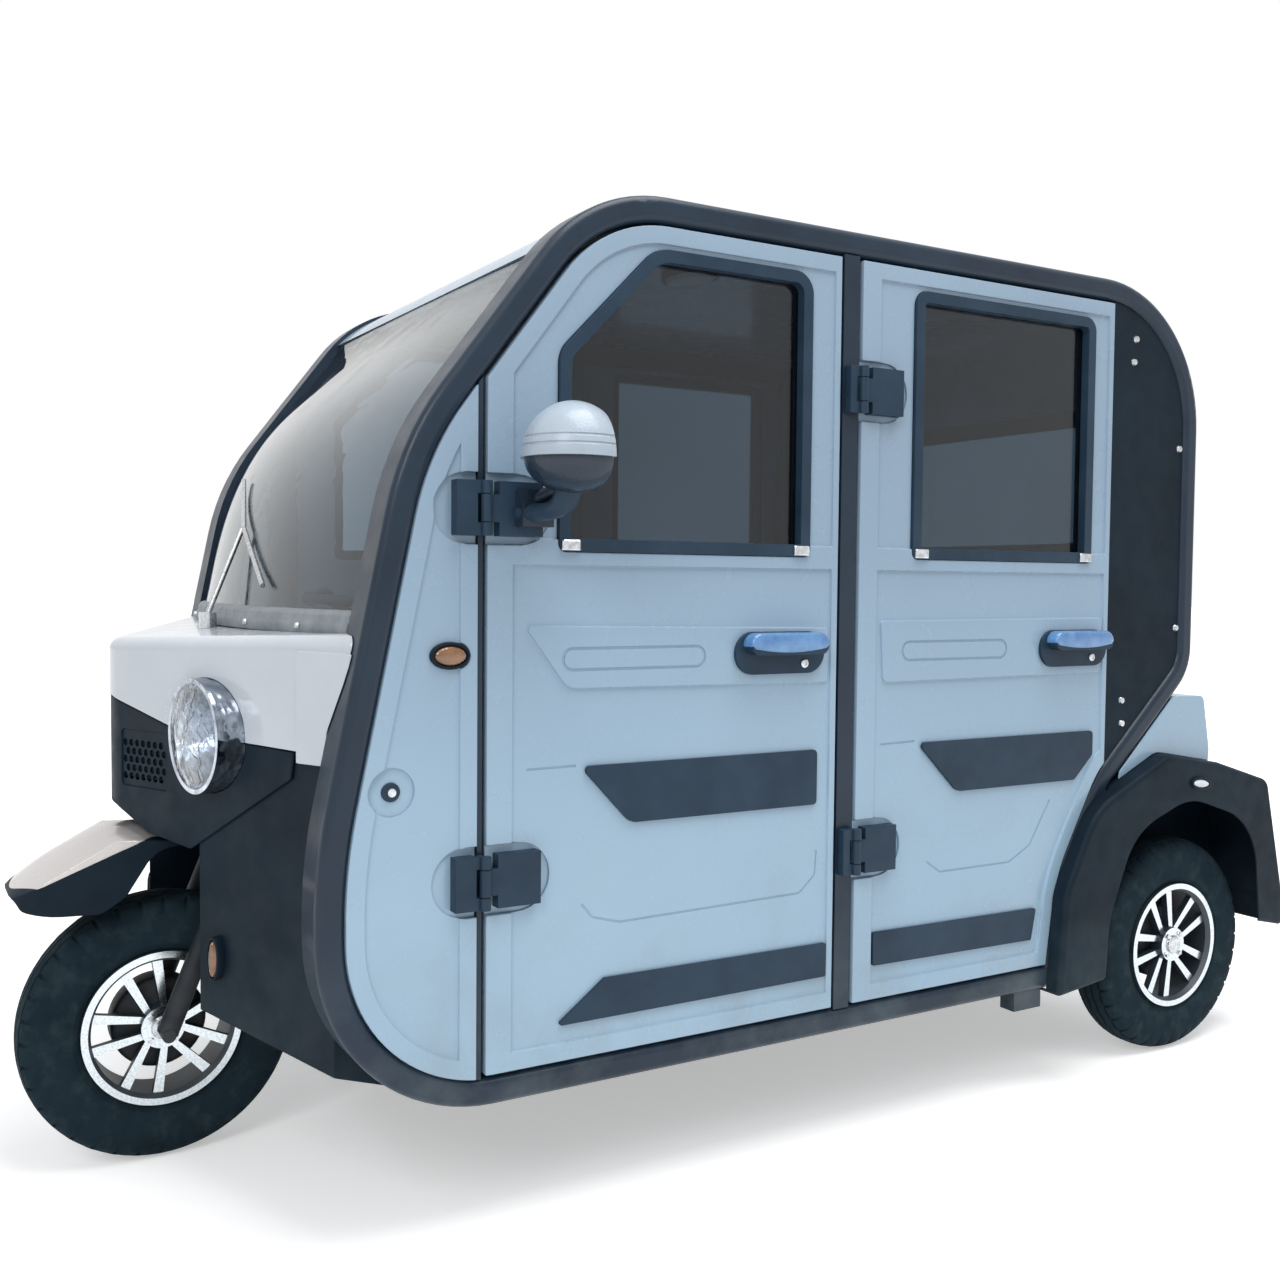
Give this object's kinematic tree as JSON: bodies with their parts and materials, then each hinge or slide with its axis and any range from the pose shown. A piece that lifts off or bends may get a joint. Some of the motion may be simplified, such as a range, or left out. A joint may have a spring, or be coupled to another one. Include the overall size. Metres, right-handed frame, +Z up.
{
  "type": "enclosed electric tricycle",
  "caption": "Enclosed electric tricycle with a steered front wheel, side doors that swing open, a curved windscreen and bench seating.",
  "frame": {"origin": "on the ground, on the middle plane, halfway between the foremost and rearmost points", "axes": "+X to the vehicle's left side, +Y towards its rear, +Z up; the vehicle faces -Y"},
  "size_m": [1.608, 2.6608, 1.704],
  "materials": {
    "alloy": "polished",
    "amber_lens": "gloss",
    "black_plastic": "satin",
    "black_steel": "satin",
    "lamp_glass": "clear",
    "red_lens": "gloss",
    "seat_vinyl": "satin",
    "silver_paint": "gloss",
    "tinted_glass": "clear",
    "tyre_rubber": "matte",
    "white_paint": "gloss"
  },
  "bodies": {
    "body": {"battery_box": "black_steel", "chassis_rails": "black_steel", "dashboard": "black_plastic", "floor_pan": "black_steel", "front_apron": "black_plastic", "front_seat": "seat_vinyl", "front_seat_back": "seat_vinyl", "front_side_panels": "white_paint", "headlamp_lenses": "lamp_glass", "headlamps": "lamp_glass", "hinge_leaves": "black_plastic", "marker_lamps": "amber_lens", "nose_grille": "black_plastic", "nose_lower": "black_plastic", "nose_shell": "white_paint", "quarter_panels": "black_plastic", "rear_axle": "black_steel", "rear_bench": "black_steel", "rear_fenders": "black_plastic", "rear_seat": "seat_vinyl", "rear_seat_back": "seat_vinyl", "rear_wall": "white_paint", "rear_window": "tinted_glass", "roof_panel": "white_paint", "side_hoop_left": "black_plastic", "side_hoop_right": "black_plastic", "steering_head": "black_steel", "tail_lamps": "red_lens", "tail_panel": "white_paint", "windscreen": "tinted_glass", "wiper": "black_plastic"},
    "steering": {"fork": "black_steel", "handlebar": "black_plastic", "mudguard": "silver_paint", "mudguard_skirt": "black_plastic"},
    "front_wheel": {"front_rim": "alloy", "front_tyre": "tyre_rubber"},
    "rear_wheel_left": {"rear_rim_left": "alloy", "rear_tyre_left": "tyre_rubber"},
    "rear_wheel_right": {"rear_rim_right": "alloy", "rear_tyre_right": "tyre_rubber"},
    "front_door_left": {"front_door_left": "white_paint", "front_door_glass_left": "tinted_glass", "front_door_fittings_left": "black_plastic", "mirror_left": "white_paint"},
    "rear_door_left": {"rear_door_left": "white_paint", "rear_door_glass_left": "tinted_glass", "rear_door_fittings_left": "black_plastic"},
    "front_door_right": {"front_door_right": "white_paint", "front_door_glass_right": "tinted_glass", "front_door_fittings_right": "black_plastic", "mirror_right": "white_paint"},
    "rear_door_right": {"rear_door_right": "white_paint", "rear_door_glass_right": "tinted_glass", "rear_door_fittings_right": "black_plastic"}
  },
  "joints": [
    {"name": "steering_turn", "type": "hinge", "parent": "body", "child": "steering", "pos_m": [0, -1.03586, 0.242], "axis": [0, 0.3746, 0.9272], "range_deg": [-35, 35]},
    {"name": "front_wheel_spin", "type": "hinge", "parent": "steering", "child": "front_wheel", "pos_m": [0, -1.079, 0.242], "axis": [1, 0, 0], "continuous": true},
    {"name": "rear_wheel_spin_left", "type": "hinge", "parent": "body", "child": "rear_wheel_left", "pos_m": [0.53, 1.025, 0.242], "axis": [1, 0, 0], "continuous": true},
    {"name": "front_door_swing_left", "type": "hinge", "parent": "body", "child": "front_door_left", "pos_m": [0.621, -0.7, 0.9], "axis": [0, 0, -1], "range_deg": [0, 65]},
    {"name": "rear_door_swing_left", "type": "hinge", "parent": "body", "child": "rear_door_left", "pos_m": [0.621, 0.051, 0.9], "axis": [0, 0, -1], "range_deg": [0, 65]},
    {"name": "rear_wheel_spin_right", "type": "hinge", "parent": "body", "child": "rear_wheel_right", "pos_m": [-0.53, 1.025, 0.242], "axis": [1, 0, 0], "continuous": true},
    {"name": "front_door_swing_right", "type": "hinge", "parent": "body", "child": "front_door_right", "pos_m": [-0.621, -0.7, 0.9], "axis": [0, 0, 1], "range_deg": [0, 65]},
    {"name": "rear_door_swing_right", "type": "hinge", "parent": "body", "child": "rear_door_right", "pos_m": [-0.621, 0.051, 0.9], "axis": [0, 0, 1], "range_deg": [0, 65]}
  ]
}
